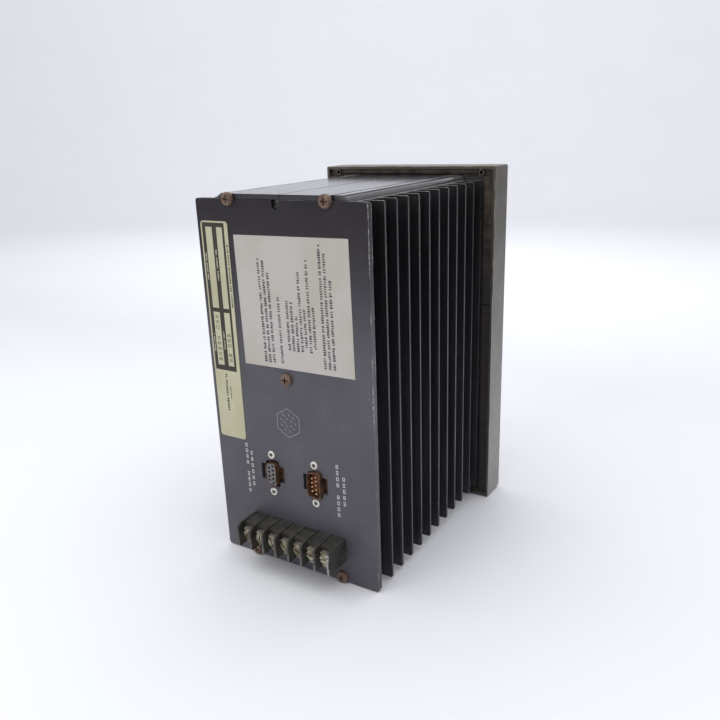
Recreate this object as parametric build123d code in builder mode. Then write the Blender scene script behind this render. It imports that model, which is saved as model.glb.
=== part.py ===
"""Panel-mounted servo drive: a deep front bezel, a chassis with finned side walls, and a wider rear plate.

All sizes are millimetres, in the frame of the installed unit: +Z up, the operator in front at -Y, the wiring
side at +Y. The origin is the centre of the four panel screws, in the plane of the bezel's rear rim, which is
the plane that meets the cabinet's panel. Each piece is a part of its own, saved under its node name.
"""

import os
from math import radians, tan

from build123d import *

os.makedirs("parts", exist_ok=True)

# ---------------------------------------------------------------- driving dimensions
BEZEL_W, BEZEL_H, BEZEL_D, BEZEL_SHEET = 132.5, 243.0, 23.5, 1.9
FACE_Y = -BEZEL_D  # outside of the bezel's face
FACE_INNER_Y = FACE_Y + BEZEL_SHEET
RIM_X, RIM_Z = BEZEL_W / 2 - BEZEL_SHEET, BEZEL_H / 2 - BEZEL_SHEET  # inside of the bezel's walls
INSERT_X, INSERT_Z, INSERT_R, INSERT_BORE = 56.1, 117.4, 2.1, 1.25  # panel inserts in the bezel's corners
MOUNT_Y, MOUNT_T = -2.5, 2.5  # rear face and thickness of the plate recessed in the bezel

PLATE_W, PLATE_H, PLATE_T = 115.0, 226.4, 3.5
REAR_Y = 150.3  # outside of the rear plate
BODY_END_Y = REAR_Y - PLATE_T  # where the frames, covers and heat sinks stop

CHASSIS_X, WALL = 43.6, 2.0  # outside and thickness of the side frames
COVER_TOP, COVER_BOTTOM, COVER_T = 116.0, -113.0, 1.2
COVER_REACH, CENTRE_SEAM = 35.0, -2.5
COVER_END_Y, LIP_REACH, LIP_BOTTOM = REAR_Y - 0.3, 28.5, PLATE_H / 2 + 0.1  # the top covers' rear edge
BEAD_R = 2.6  # rounded rail along the top edge of each side frame
PORT_X, PORT_R, PORT_HALF, PORT_H = 32.7, 1.3, 3.0, 4.7  # screw ports in the frames' flanges
TOP_PORT_Z, BOTTOM_PORT_Z = 113.2, -109.9
CENTRE_SCREW_Z, NOTCH_Z, NOTCH_R = 11.7, 110.5, 2.65

FIN_COUNT, FIN_PITCH, FIN_T, FIN_TIP_X = 11, 13.08, 1.6, 57.5
FIRST_FIN_Y = 133.84  # rear face of the fin nearest the rear plate
SINK_BASE_T, SINK_TOP, SINK_BOTTOM = 3.0, 112.4, -112.9

TERMINALS, TERMINAL_PITCH, BLOCK_X, BARRIER_T = 7, 9.525, -1.35, 1.4
BLOCK_TOP, BLOCK_BOTTOM, BLOCK_FRONT = -82.8, -98.0, REAR_Y + 18.9
CONTACT_Y, CONTACT_T, CLAMP_T, TERMINAL_Z = REAR_Y + 11.4, 1.0, 0.9, -90.2
SEAT_Y = CONTACT_Y + CONTACT_T  # face of the terminal contacts
TERMINAL_BORE, SHANK_R = 1.58, 1.5

CONNECTOR_Z, OUTPUT_X, INPUT_X, JACK_PITCH = -52.0, 15.8, -15.8, 24.99
FLANGE_Y, SHELL_END = BODY_END_Y - 0.8, REAR_Y + 2.4
JACK_Z = (CONNECTOR_Z - JACK_PITCH / 2, CONNECTOR_Z + JACK_PITCH / 2)
JACK_PLACES = [(x, z) for x in (OUTPUT_X, INPUT_X) for z in JACK_Z]

KEY_X, KEY_Z, KEY_SIZE, KEY_GAP, KEY_FRONT = (-39.0, -13.0, 13.0, 39.0), 8.0, 17.6, 0.3, -28.5
LAMP_Z, LAMP_R = 44.0, 2.5
LOCK_Z, LOCK_R = -52.0, 9.5
WINDOW_Z, WINDOW_W, WINDOW_H = 80.0, 96.0, 32.0
SPACER_L, BOARD_T = 12.1, 1.6
FRONT_BOARD_Y = FACE_INNER_Y + SPACER_L
FRONT_SPACERS = [(x, z) for x in (-54.0, 54.0) for z in (-8.0, 58.0)]
DIVIDER_T = 2.0
LOGIC_BOARD_X = DIVIDER_T / 2 + SPACER_L
LOGIC_SPACERS = [(y, z) for y in (16.0, 126.0) for z in (-88.0, 92.0)]

CORNERS = [(x, z) for x in (-INSERT_X, INSERT_X) for z in (-INSERT_Z, INSERT_Z)]
PORTS = [(x, z) for x in (-PORT_X, PORT_X) for z in (BOTTOM_PORT_Z, TOP_PORT_Z)]
SIDES = {"left": 1, "right": -1}  # as seen from behind


def save(piece, name):
    """Labels a finished piece and writes it under its node name."""
    piece.part.label = name
    export_step(piece.part, f"parts/{name}.step")


def brick(x, y, z, mode=Mode.ADD):
    """A box in the open part, between the two values of each pair."""
    with Locations(((x[0] + x[1]) / 2, (y[0] + y[1]) / 2, (z[0] + z[1]) / 2)):
        Box(abs(x[1] - x[0]), abs(y[1] - y[0]), abs(z[1] - z[0]), mode=mode)


def rod_y(x, z, y, radius, mode=Mode.ADD):
    """A cylinder in the open part, along Y between the pair y."""
    with Locations(Location((x, (y[0] + y[1]) / 2, z), (90, 0, 0))):
        Cylinder(radius, abs(y[1] - y[0]), mode=mode)


def rod_x(y, z, x, radius, mode=Mode.ADD):
    """A cylinder in the open part, along X between the pair x."""
    with Locations(Location(((x[0] + x[1]) / 2, y, z), (0, 90, 0))):
        Cylinder(radius, abs(x[1] - x[0]), mode=mode)


def cross_recess(x, z, head_end_y, reach, width, depth):
    """Cuts a cross-shaped driver recess in a head that ends at that y."""
    y = (head_end_y - depth, head_end_y)
    brick((x - reach, x + reach), y, (z - width / 2, z + width / 2), Mode.SUBTRACT)
    brick((x - width / 2, x + width / 2), y, (z - reach, z + reach), Mode.SUBTRACT)


def facing(x, y, z):
    """Sketch plane at a point, as seen from behind: x runs along -X, y along +Z, and it extrudes to +Y."""
    return Plane(origin=(x, y, z), x_dir=(-1, 0, 0), z_dir=(0, 1, 0))


def row(count, pitch):
    """Centred positions of a row."""
    return [(i - (count - 1) / 2) * pitch for i in range(count)]


def d_prism(x, wide, narrow, corner, y):
    """A D-shaped solid at a connector, between the pair y, its wide side towards -X. Called outside a part."""
    lean = tan(radians(10)) * narrow
    with BuildPart() as prism:
        with BuildSketch(facing(x, y[0], CONNECTOR_Z)) as outline:
            with BuildLine():
                Polyline(
                    (narrow / 2, wide / 2),
                    (-narrow / 2, wide / 2 - lean),
                    (-narrow / 2, lean - wide / 2),
                    (narrow / 2, -wide / 2),
                    close=True,
                )
            make_face()
            fillet(outline.vertices(), corner)
        extrude(amount=y[1] - y[0])
    return prism.part


# ---------------------------------------------------------------- bezel and what closes it
key_half = KEY_SIZE / 2 + KEY_GAP
with BuildPart() as bezel:
    brick((-BEZEL_W / 2, BEZEL_W / 2), (FACE_Y, 0), (-BEZEL_H / 2, BEZEL_H / 2))
    fillet(bezel.edges().filter_by(Axis.Y), 1.4)
    fillet(bezel.faces().sort_by(Axis.Y)[0].edges(), 1.0)
    brick((-RIM_X, RIM_X), (FACE_INNER_Y, 0), (-RIM_Z, RIM_Z), Mode.SUBTRACT)
    for x, z in CORNERS:  # welded corner blocks that hold the panel inserts
        out_x, out_z = (RIM_X if x > 0 else -RIM_X), (RIM_Z if z > 0 else -RIM_Z)
        in_x, in_z = x - 5 * x / INSERT_X, z - 4 * z / INSERT_Z
        brick((in_x, out_x), (-14, MOUNT_Y - MOUNT_T), (in_z, out_z))
        rod_y(x, z, (-10, MOUNT_Y - MOUNT_T), INSERT_R, Mode.SUBTRACT)
    wall = (FACE_Y, FACE_INNER_Y)
    window_z = (WINDOW_Z - WINDOW_H / 2, WINDOW_Z + WINDOW_H / 2)
    brick((-WINDOW_W / 2, WINDOW_W / 2), wall, window_z, Mode.SUBTRACT)
    for x in KEY_X:
        brick((x - key_half, x + key_half), wall, (KEY_Z - key_half, KEY_Z + key_half), Mode.SUBTRACT)
        rod_y(x, LAMP_Z, wall, LAMP_R + 0.1, Mode.SUBTRACT)
    rod_y(0, LOCK_Z, wall, LOCK_R, Mode.SUBTRACT)
save(bezel, "bezel")

OVERLAY_EDGE, OVERLAY_T = 6.5, 0.8
overlay = (FACE_Y - OVERLAY_T, FACE_Y)
with BuildPart() as front_overlay:
    half_x, half_z = BEZEL_W / 2 - OVERLAY_EDGE, BEZEL_H / 2 - OVERLAY_EDGE
    brick((-half_x, half_x), overlay, (-half_z, half_z))
    fillet(front_overlay.edges().filter_by(Axis.Y), 3)
    brick((-WINDOW_W / 2, WINDOW_W / 2), overlay, window_z, Mode.SUBTRACT)
    cut = key_half + 0.4
    for x in KEY_X:
        brick((x - cut, x + cut), overlay, (KEY_Z - cut, KEY_Z + cut), Mode.SUBTRACT)
        rod_y(x, LAMP_Z, overlay, LAMP_R + 0.3, Mode.SUBTRACT)
    rod_y(0, LOCK_Z, overlay, LOCK_R + 2.6, Mode.SUBTRACT)
save(front_overlay, "front_overlay")

with BuildPart() as display_window:  # the pane fills the opening flush and is bonded by its flange
    lip, play = 2.5, 0.1
    pane_x, pane_z = WINDOW_W / 2 - play, WINDOW_H / 2 - play
    brick((-pane_x, pane_x), (FACE_Y - OVERLAY_T, FACE_INNER_Y), (WINDOW_Z - pane_z, WINDOW_Z + pane_z))
    flange_z = (WINDOW_Z - WINDOW_H / 2 - lip, WINDOW_Z + WINDOW_H / 2 + lip)
    brick((-WINDOW_W / 2 - lip, WINDOW_W / 2 + lip), (FACE_INNER_Y, FACE_INNER_Y + 1.5), flange_z)
save(display_window, "display_window")

mount_span = (MOUNT_Y - MOUNT_T, MOUNT_Y)
with BuildPart() as mounting_plate:  # closes the bezel's back, with an opening for the harness
    brick((0.25 - RIM_X, RIM_X - 0.25), mount_span, (0.25 - RIM_Z, RIM_Z - 0.25))
    brick((-26, 26), mount_span, (-98, 101), Mode.SUBTRACT)
    for x, z in PORTS:
        rod_y(x, z, mount_span, 1.6, Mode.SUBTRACT)
    for x, z in CORNERS:
        rod_y(x, z, mount_span, INSERT_R, Mode.SUBTRACT)
save(mounting_plate, "mounting_plate")

with BuildPart() as panel_inserts:
    for x, z in CORNERS:
        rod_y(x, z, (-10, 0), INSERT_R)
        rod_y(x, z, (-9, 0), INSERT_BORE, Mode.SUBTRACT)
save(panel_inserts, "panel_inserts")

with BuildPart() as panel_gasket:  # foam strips round the chassis, stopping short of the inserts
    foam, strip_x, joint_z = (MOUNT_Y, -0.1), (57.8, RIM_X - 0.1), 27.7
    foam_half, foam_end, foam_z = INSERT_X - INSERT_R - 0.6, INSERT_Z - INSERT_R - 0.6, RIM_Z - 0.1
    brick((-foam_half, foam_half), foam, (COVER_TOP + 0.2, foam_z))
    brick((-foam_half, foam_half), foam, (-foam_z, COVER_BOTTOM - 0.6))
    for side in (-1, 1):
        brick((side * strip_x[0], side * strip_x[1]), foam, (joint_z + 0.3, foam_end))
        brick((side * strip_x[0], side * strip_x[1]), foam, (-foam_end, joint_z - 0.3))
save(panel_gasket, "panel_gasket")

# ---------------------------------------------------------------- chassis
FLANGE_TOP, FLANGE_BOTTOM = COVER_TOP - COVER_T, COVER_BOTTOM + COVER_T
depth = (MOUNT_Y, BODY_END_Y)
for word, side in SIDES.items():
    with BuildPart() as side_frame:  # channel whose flanges carry the covers and end in screw ports
        web_top = COVER_TOP - 3.3
        brick((side * (CHASSIS_X - WALL), side * CHASSIS_X), depth, (FLANGE_BOTTOM, web_top))
        low_edges = side_frame.edges().filter_by(Axis.Y).group_by(Axis.Z)[0].sort_by(Axis.X)
        fillet(low_edges[-1 if side > 0 else 0], 1.5)
        inner, bead_x = PORT_X - PORT_HALF, CHASSIS_X - BEAD_R
        brick((side * inner, side * bead_x), depth, (FLANGE_TOP - WALL, FLANGE_TOP))
        brick((side * inner, side * (CHASSIS_X - WALL)), depth, (FLANGE_BOTTOM, FLANGE_BOTTOM + WALL))
        brick((side * (COVER_REACH + 0.3), side * bead_x), depth, (FLANGE_TOP, COVER_TOP - 0.1))
        rod_y(side * bead_x, web_top, depth, BEAD_R)
        for low, high, centre in (
            (FLANGE_TOP - PORT_H, FLANGE_TOP, TOP_PORT_Z),
            (FLANGE_BOTTOM, FLANGE_BOTTOM + PORT_H, BOTTOM_PORT_Z),
        ):
            brick((side * inner, side * (PORT_X + PORT_HALF)), depth, (low, high))
            rod_y(side * PORT_X, centre, depth, PORT_R, Mode.SUBTRACT)
    save(side_frame, f"side_frame_{word}")

    with BuildPart() as heat_sink:  # extruded along Z: a base on the side frame and fins across the depth
        root, height = CHASSIS_X + SINK_BASE_T, (SINK_BOTTOM, SINK_TOP)
        front_y = FIRST_FIN_Y - (FIN_COUNT - 1) * FIN_PITCH - FIN_T
        brick((side * CHASSIS_X, side * root), (front_y, BODY_END_Y), height)
        for i in range(FIN_COUNT):
            fin_y = FIRST_FIN_Y - i * FIN_PITCH
            brick((side * root, side * FIN_TIP_X), (fin_y - FIN_T, fin_y), height)
        fillet(heat_sink.edges().filter_by(Axis.Y).group_by(Axis.X)[-1 if side > 0 else 0], 1.2)
    save(heat_sink, f"heat_sink_{word}")

    with BuildPart() as top_cover:  # the two covers meet off centre and lap over the rear plate's edge
        seam = CENTRE_SEAM + side * 0.15
        brick((seam, side * COVER_REACH), (MOUNT_Y, COVER_END_Y), (FLANGE_TOP, COVER_TOP))
        brick((seam, side * LIP_REACH), (COVER_END_Y - COVER_T, COVER_END_Y), (LIP_BOTTOM, COVER_TOP))
    save(top_cover, f"top_cover_{word}")

with BuildPart() as bottom_cover:
    brick((-COVER_REACH, COVER_REACH), depth, (COVER_BOTTOM, FLANGE_BOTTOM))
save(bottom_cover, "bottom_cover")

with BuildPart() as centre_divider:  # partition between the logic and the power halves
    rail, start = 3.0, MOUNT_Y + 4
    brick((-DIVIDER_T / 2, DIVIDER_T / 2), (start, BODY_END_Y), (FLANGE_BOTTOM, FLANGE_TOP))
    brick((-rail - 1, rail), (start, BODY_END_Y), (FLANGE_TOP - 7, FLANGE_TOP))
    brick((-rail, rail), (start, BODY_END_Y), (FLANGE_BOTTOM, FLANGE_BOTTOM + 4))
    brick((-rail, rail), (BODY_END_Y - 7, BODY_END_Y), (FLANGE_BOTTOM, FLANGE_TOP))
    brick((-5, 5), (BODY_END_Y - 12, BODY_END_Y), (-92, -86), Mode.SUBTRACT)
    for z in (CENTRE_SCREW_Z, NOTCH_Z):
        rod_y(0, z, (BODY_END_Y - 16, BODY_END_Y), PORT_R, Mode.SUBTRACT)
save(centre_divider, "centre_divider")

# ---------------------------------------------------------------- rear plate, fasteners and labels
plate_span = (BODY_END_Y, REAR_Y)
cutouts = [d_prism(x, 19.0, 10.4, 2.4, plate_span) for x in (OUTPUT_X, INPUT_X)]
with BuildPart() as rear_plate:
    brick((-PLATE_W / 2, PLATE_W / 2), plate_span, (-PLATE_H / 2, PLATE_H / 2))
    fillet(rear_plate.edges().filter_by(Axis.Y), 1.8)
    add(cutouts, mode=Mode.SUBTRACT)
    for x in (OUTPUT_X, INPUT_X):  # clearance for the board clips beside each connector
        brick((x - 8.7, x + 8.7), plate_span, (CONNECTOR_Z - 5.3, CONNECTOR_Z + 5.3), Mode.SUBTRACT)
    for x, z in JACK_PLACES:
        rod_y(x, z, plate_span, 1.75, Mode.SUBTRACT)
    for x, z, r in ((-PORT_X, TOP_PORT_Z, 1.9), (0, NOTCH_Z, NOTCH_R), (PORT_X, TOP_PORT_Z, 1.9)):
        rod_y(x, z, plate_span, r, Mode.SUBTRACT)
        brick((x - r, x + r), plate_span, (z, TOP_PORT_Z + 4), Mode.SUBTRACT)
    for x, z in ((-PORT_X, BOTTOM_PORT_Z), (PORT_X, BOTTOM_PORT_Z), (0, CENTRE_SCREW_Z)):
        rod_y(x, z, plate_span, 1.7, Mode.SUBTRACT)
    brick((BLOCK_X - 31, BLOCK_X + 31), plate_span, (-92.5, -86.5), Mode.SUBTRACT)
save(rear_plate, "rear_plate")

rear_screw_places = PORTS + [(0, CENTRE_SCREW_Z)]
with BuildPart() as rear_screws:  # pan heads with a cross recess
    head_end = REAR_Y + 2.5
    for x, z in rear_screw_places:
        rod_y(x, z, (REAR_Y, head_end), 3.8)
    fillet(rear_screws.edges().filter_by(GeomType.CIRCLE).group_by(Axis.Y)[-1], 1.3)
    for x, z in rear_screw_places:
        rod_y(x, z, (BODY_END_Y - 11, REAR_Y), 1.2)
        cross_recess(x, z, head_end, 2.1, 0.85, 1.5)
save(rear_screws, "rear_screws")

with BuildPart() as chassis_screws:  # slotted: four behind the face, one in the rear plate's open notch
    ends = [(x, z, mount_span[0], -1) for x, z in PORTS]
    ends.append((0, NOTCH_Z, BODY_END_Y, 1))
    for x, z, seat, out in ends:
        rod_y(x, z, (seat, seat + out * 1.8), 2.5)
        rod_y(x, z, (seat - out * 12, seat), 1.2)
        brick((x - 2.5, x + 2.5), (seat + out * 0.9, seat + out * 1.8), (z - 0.35, z + 0.35), Mode.SUBTRACT)
save(chassis_screws, "chassis_screws")

LABELS = {  # x pair, z pair, thickness, corner radius, turn in degrees
    "instruction_label": ((-45.9, 30.6), (18.0, 94.0), 0.2, 0.4, 0.9),
    "rating_plate": ((35.0, 55.0), (-33.6, 100.5), 0.4, 2.0, 0.0),
}
for name, (x, z, thick, corner, turn) in LABELS.items():
    with BuildPart() as label:
        with BuildSketch(facing((x[0] + x[1]) / 2, REAR_Y, (z[0] + z[1]) / 2)):
            RectangleRounded(x[1] - x[0], z[1] - z[0], corner, rotation=turn)
        extrude(amount=thick)
    save(label, name)

# ---------------------------------------------------------------- connectors
SHELL_WALL = 0.45
SHELLS = {  # x, outline's width and depth, contact radius
    "output": (OUTPUT_X, 16.33, 7.9, 0.55),
    "input": (INPUT_X, 17.9, 9.3, 0.5),
}


def contact_places(x):
    """Nine contacts in two rows, the row of five on the wide side."""
    five = [(x - 1.42, CONNECTOR_Z + dz) for dz in row(5, 2.77)]
    return five + [(x + 1.42, CONNECTOR_Z + dz) for dz in row(4, 2.77)]


for word, (x, wide, narrow, contact_r) in SHELLS.items():
    inner_wide, inner_narrow = wide - 2 * SHELL_WALL, narrow - 2 * SHELL_WALL
    sleeve = d_prism(x, wide, narrow, 2.1, (FLANGE_Y, SHELL_END))
    hollow = d_prism(x, inner_wide, inner_narrow, 1.7, (FLANGE_Y - 1, SHELL_END))
    with BuildPart() as shell:  # flange behind the rear plate and the sleeve that stands through it
        brick((x - 6.2, x + 6.2), (FLANGE_Y, BODY_END_Y), (CONNECTOR_Z - 15.4, CONNECTOR_Z + 15.4))
        add(sleeve)
        add(hollow, mode=Mode.SUBTRACT)
        for z in JACK_Z:
            rod_y(x, z, (FLANGE_Y, BODY_END_Y), 1.65, Mode.SUBTRACT)
    save(shell, f"{word}_shell")

    insert_front = SHELL_END - (0.4 if word == "output" else 5.0)
    core = d_prism(x, inner_wide, inner_narrow, 1.7, (FLANGE_Y, insert_front))
    with BuildPart() as insulator:
        brick((x - 4.6, x + 4.6), (FLANGE_Y - 6, FLANGE_Y), (CONNECTOR_Z - 9.4, CONNECTOR_Z + 9.4))
        add(core)
        for px, pz in contact_places(x):
            rod_y(px, pz, (FLANGE_Y - 6, insert_front), contact_r + 0.35 * (word == "output"), Mode.SUBTRACT)
    save(insulator, f"{word}_insulator")

with BuildPart() as input_pins:
    for x, z in contact_places(INPUT_X):
        rod_y(x, z, (FLANGE_Y - 10, SHELL_END - 0.6), 0.5)
    fillet(input_pins.edges().filter_by(GeomType.CIRCLE).group_by(Axis.Y)[-1], 0.3)
save(input_pins, "input_pins")

with BuildPart() as output_sockets:
    for x, z in contact_places(OUTPUT_X):
        rod_y(x, z, (FLANGE_Y - 10, SHELL_END - 1.2), 0.85)
        rod_y(x, z, (FLANGE_Y, SHELL_END - 1.2), 0.55, Mode.SUBTRACT)
save(output_sockets, "output_sockets")

with BuildPart() as jack_nuts:  # hollow threaded fasteners that take a plug's screws
    for x, z in JACK_PLACES:
        rod_y(x, z, (REAR_Y, REAR_Y + 0.9), 2.6)
        rod_y(x, z, (FLANGE_Y - 4, REAR_Y), 1.6)
        rod_y(x, z, (FLANGE_Y - 4, FLANGE_Y), 2.6)
    fillet(jack_nuts.edges().filter_by(GeomType.CIRCLE).group_by(Axis.Y)[-1], 0.5)
    for x, z in JACK_PLACES:
        rod_y(x, z, (FLANGE_Y - 4, REAR_Y + 0.9), INSERT_BORE, Mode.SUBTRACT)
save(jack_nuts, "jack_nuts")

# ---------------------------------------------------------------- terminal block
cell_x = [BLOCK_X - dx for dx in row(TERMINALS, TERMINAL_PITCH)]  # terminal 1 is at +X
SHELF_LOW, SHELF_TOP, SHELF_FRONT = -87.2, BLOCK_TOP - 0.6, REAR_Y + 12.4
with BuildPart() as terminal_block:  # a base with a shelf over the terminals and a barrier beside each
    for dx in row(TERMINALS + 1, TERMINAL_PITCH):
        barrier = (BLOCK_X + dx - BARRIER_T / 2, BLOCK_X + dx + BARRIER_T / 2)
        brick(barrier, (REAR_Y, BLOCK_FRONT), (BLOCK_BOTTOM, BLOCK_TOP))
    front_edges = terminal_block.edges().filter_by(Axis.X).group_by(Axis.Y)[-1]
    fillet(front_edges.group_by(Axis.Z)[-1], 3.4)
    low_edges = terminal_block.edges().filter_by(Axis.X).group_by(Axis.Y)[-1]
    fillet(low_edges.group_by(Axis.Z)[0], 1.0)
    half = (TERMINALS * TERMINAL_PITCH + BARRIER_T) / 2
    brick((BLOCK_X - half, BLOCK_X + half), (REAR_Y, CONTACT_Y), (BLOCK_BOTTOM, SHELF_TOP))
    brick((BLOCK_X - half, BLOCK_X + half), (REAR_Y, SHELF_FRONT), (SHELF_LOW, SHELF_TOP))
    for x in cell_x:
        rod_y(x, TERMINAL_Z, (REAR_Y + 1, CONTACT_Y), 1.9, Mode.SUBTRACT)
        brick((x - 2.1, x + 2.1), (REAR_Y, CONTACT_Y), (-88.8, -87.6), Mode.SUBTRACT)
save(terminal_block, "terminal_block")

with BuildPart() as terminal_contacts:  # a tapped face under each screw and a tail into the chassis
    for x in cell_x:
        brick((x - 3.6, x + 3.6), (CONTACT_Y, SEAT_Y), (-97.6, -87.4))
        brick((x - 2.0, x + 2.0), (BODY_END_Y - 9, CONTACT_Y), (-88.7, -87.7))
        rod_y(x, TERMINAL_Z, (CONTACT_Y, SEAT_Y), TERMINAL_BORE, Mode.SUBTRACT)
save(terminal_contacts, "terminal_contacts")

CLAMP_HALF, RIDGE = 3.3, 0.3
head_seat = SEAT_Y + RIDGE + CLAMP_T + 0.05
for number, x in enumerate(cell_x, 1):
    clamp_z = (TERMINAL_Z - CLAMP_HALF, TERMINAL_Z + CLAMP_HALF)
    with BuildPart() as clamp:  # saddle washer with two ridges that bite the wire and a turned-out tab
        brick((x - CLAMP_HALF, x + CLAMP_HALF), (SEAT_Y + RIDGE, SEAT_Y + RIDGE + CLAMP_T), clamp_z)
        for side in (-1, 1):
            ridge_x = (x + side * (CLAMP_HALF - 0.7), x + side * CLAMP_HALF)
            brick(ridge_x, (SEAT_Y + 0.02, SEAT_Y + RIDGE), clamp_z)
        brick((x - 2.4, x + 2.4), (SEAT_Y + RIDGE, SEAT_Y + 3.2), (clamp_z[1], clamp_z[1] + CLAMP_T))
        rod_y(x, TERMINAL_Z, (SEAT_Y, head_seat), TERMINAL_BORE, Mode.SUBTRACT)
    save(clamp, f"clamp_{number}")

    with BuildPart() as terminal_screw:  # slotted binding head, captive in its clamp
        head_r, head_end, turn = 3.25, head_seat + 2.2, 35 + 23 * number
        rod_y(x, TERMINAL_Z, (head_seat, head_end), head_r)
        fillet(terminal_screw.edges().filter_by(GeomType.CIRCLE).group_by(Axis.Y)[-1], 0.8)
        rod_y(x, TERMINAL_Z, (REAR_Y + 1.6, head_seat), SHANK_R)
        with Locations(Location((x, head_end - 0.5, TERMINAL_Z), (0, turn, 0))):
            Box(2 * head_r, 1.0, 0.9, mode=Mode.SUBTRACT)
    save(terminal_screw, f"terminal_screw_{number}")

# ---------------------------------------------------------------- operator front
with BuildPart() as front_board:
    brick((-58, 58), (FRONT_BOARD_Y, FRONT_BOARD_Y + BOARD_T), (-14, 104))
    for x, z in FRONT_SPACERS:
        rod_y(x, z, (FRONT_BOARD_Y, FRONT_BOARD_Y + BOARD_T), 1.3, Mode.SUBTRACT)
save(front_board, "front_board")

with BuildPart() as digit_modules:
    for x in row(6, 15.2):
        brick((x - 6.25, x + 6.25), (FRONT_BOARD_Y - 9, FRONT_BOARD_Y), (WINDOW_Z - 9.5, WINDOW_Z + 9.5))
save(digit_modules, "digit_modules")

with BuildPart() as status_lamps:  # a domed lens through the face with a collar behind it
    for x in KEY_X:
        rod_y(x, LAMP_Z, (FACE_Y - 2.6, FACE_INNER_Y), LAMP_R)
    fillet(status_lamps.edges().filter_by(GeomType.CIRCLE).group_by(Axis.Y)[0], 1.9)
    for x in KEY_X:
        rod_y(x, LAMP_Z, (FACE_INNER_Y, FACE_INNER_Y + 1.2), LAMP_R + 0.5)
        rod_y(x, LAMP_Z, (FACE_INNER_Y + 1.2, FRONT_BOARD_Y), 1.0)
save(status_lamps, "status_lamps")

KEY_BACK, PLUNGER_R, SWITCH_FRONT = -19.8, 1.5, FRONT_BOARD_Y - 3.8
for number, x in enumerate(reversed(KEY_X), 1):
    with BuildPart() as key:  # cap in the face's opening, a flange that holds it in, and a plunger
        half, flange = KEY_SIZE / 2, KEY_SIZE / 2 + 1.6
        brick((x - half, x + half), (KEY_FRONT, KEY_BACK), (KEY_Z - half, KEY_Z + half))
        fillet(key.edges().filter_by(Axis.Y), 1.2)
        fillet(key.faces().sort_by(Axis.Y)[0].edges(), 0.9)
        with BuildSketch(Plane(origin=(0, KEY_FRONT, 0), x_dir=(1, 0, 0), z_dir=(0, -1, 0))):
            with Locations((x, KEY_Z)):
                RectangleRounded(KEY_SIZE - 5, KEY_SIZE - 5, 2)
        extrude(amount=-0.5, mode=Mode.SUBTRACT)
        brick((x - flange, x + flange), (FACE_INNER_Y + 0.2, KEY_BACK), (KEY_Z - flange, KEY_Z + flange))
        rod_y(x, KEY_Z, (KEY_BACK, SWITCH_FRONT - 2.5), 3.0)
        rod_y(x, KEY_Z, (SWITCH_FRONT - 2.5, SWITCH_FRONT + 0.5), PLUNGER_R)
    save(key, f"key_{number}")

with BuildPart() as key_switches:
    for x in KEY_X:
        brick((x - 6, x + 6), (SWITCH_FRONT, FRONT_BOARD_Y), (KEY_Z - 6, KEY_Z + 6))
        rod_y(x, KEY_Z, (SWITCH_FRONT, SWITCH_FRONT + 2.6), PLUNGER_R + 0.1, Mode.SUBTRACT)
save(key_switches, "key_switches")

LOCK_BORE, RING_FRONT = 7.6, FACE_Y - 2.8
with BuildPart() as lock_body:  # a ring on the face, a sleeve through it and a nut behind
    rod_y(0, LOCK_Z, (RING_FRONT, FACE_Y), LOCK_R + 2.4)
    fillet(lock_body.faces().sort_by(Axis.Y)[0].edges(), 1.0)
    rod_y(0, LOCK_Z, (FACE_Y, -7), LOCK_R - 0.1)
    rod_y(0, LOCK_Z, (FACE_INNER_Y, FACE_INNER_Y + 3), LOCK_R + 3.2)
    rod_y(0, LOCK_Z, (RING_FRONT, -9), LOCK_BORE, Mode.SUBTRACT)
save(lock_body, "lock_body")

with BuildPart() as lock_cylinder:  # turning plug with its key slot
    rod_y(0, LOCK_Z, (RING_FRONT - 0.5, -9.2), LOCK_BORE - 0.05)
    fillet(lock_cylinder.faces().sort_by(Axis.Y)[0].edges(), 0.6)
    brick((-1, 1), (RING_FRONT - 0.5, RING_FRONT + 12), (LOCK_Z - 4.2, LOCK_Z + 4.2), Mode.SUBTRACT)
save(lock_cylinder, "lock_cylinder")

# ---------------------------------------------------------------- electronics in the chassis
with BuildPart() as board_spacers:  # four hold the front board, four hold the logic board off the divider
    for x, z in FRONT_SPACERS:
        rod_y(x, z, (FACE_INNER_Y, FRONT_BOARD_Y), 2.5)
        rod_y(x, z, (FACE_INNER_Y + 2, FRONT_BOARD_Y), 1.2, Mode.SUBTRACT)
    for y, z in LOGIC_SPACERS:
        rod_x(y, z, (DIVIDER_T / 2, LOGIC_BOARD_X), 2.5)
        rod_x(y, z, (DIVIDER_T / 2 + 2, LOGIC_BOARD_X), 1.2, Mode.SUBTRACT)
save(board_spacers, "board_spacers")

chip_face = LOGIC_BOARD_X + BOARD_T
with BuildPart() as logic_board:
    brick((LOGIC_BOARD_X, chip_face), (8, 134), (-96, 100))
    for y, z in LOGIC_SPACERS:
        rod_x(y, z, (LOGIC_BOARD_X, chip_face), 1.3, Mode.SUBTRACT)
save(logic_board, "logic_board")

with BuildPart() as logic_chips:
    for y in row(4, 24):
        for z in row(5, 36):
            brick((chip_face, chip_face + 4.2), (y + 66.4, y + 73.6), (z - 4, z + 16))
save(logic_chips, "logic_chips")

with BuildPart() as transformer_core:  # laminated shell core with two windows for the coil
    brick((-37, -7), (22, 92), (-98, -38))
    for window in ((34, 46), (68, 80)):
        brick((-37, -7), window, (-86, -50), Mode.SUBTRACT)
save(transformer_core, "transformer_core")

with BuildPart() as transformer_coil:  # winding round the core's middle leg
    brick((-40.5, -3.5), (34.5, 79.5), (-85.5, -50.5))
    fillet(transformer_coil.edges().filter_by(Axis.Z), 4)
    brick((-37, -7), (46, 68), (-98, -38), Mode.SUBTRACT)
save(transformer_coil, "transformer_coil")

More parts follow.
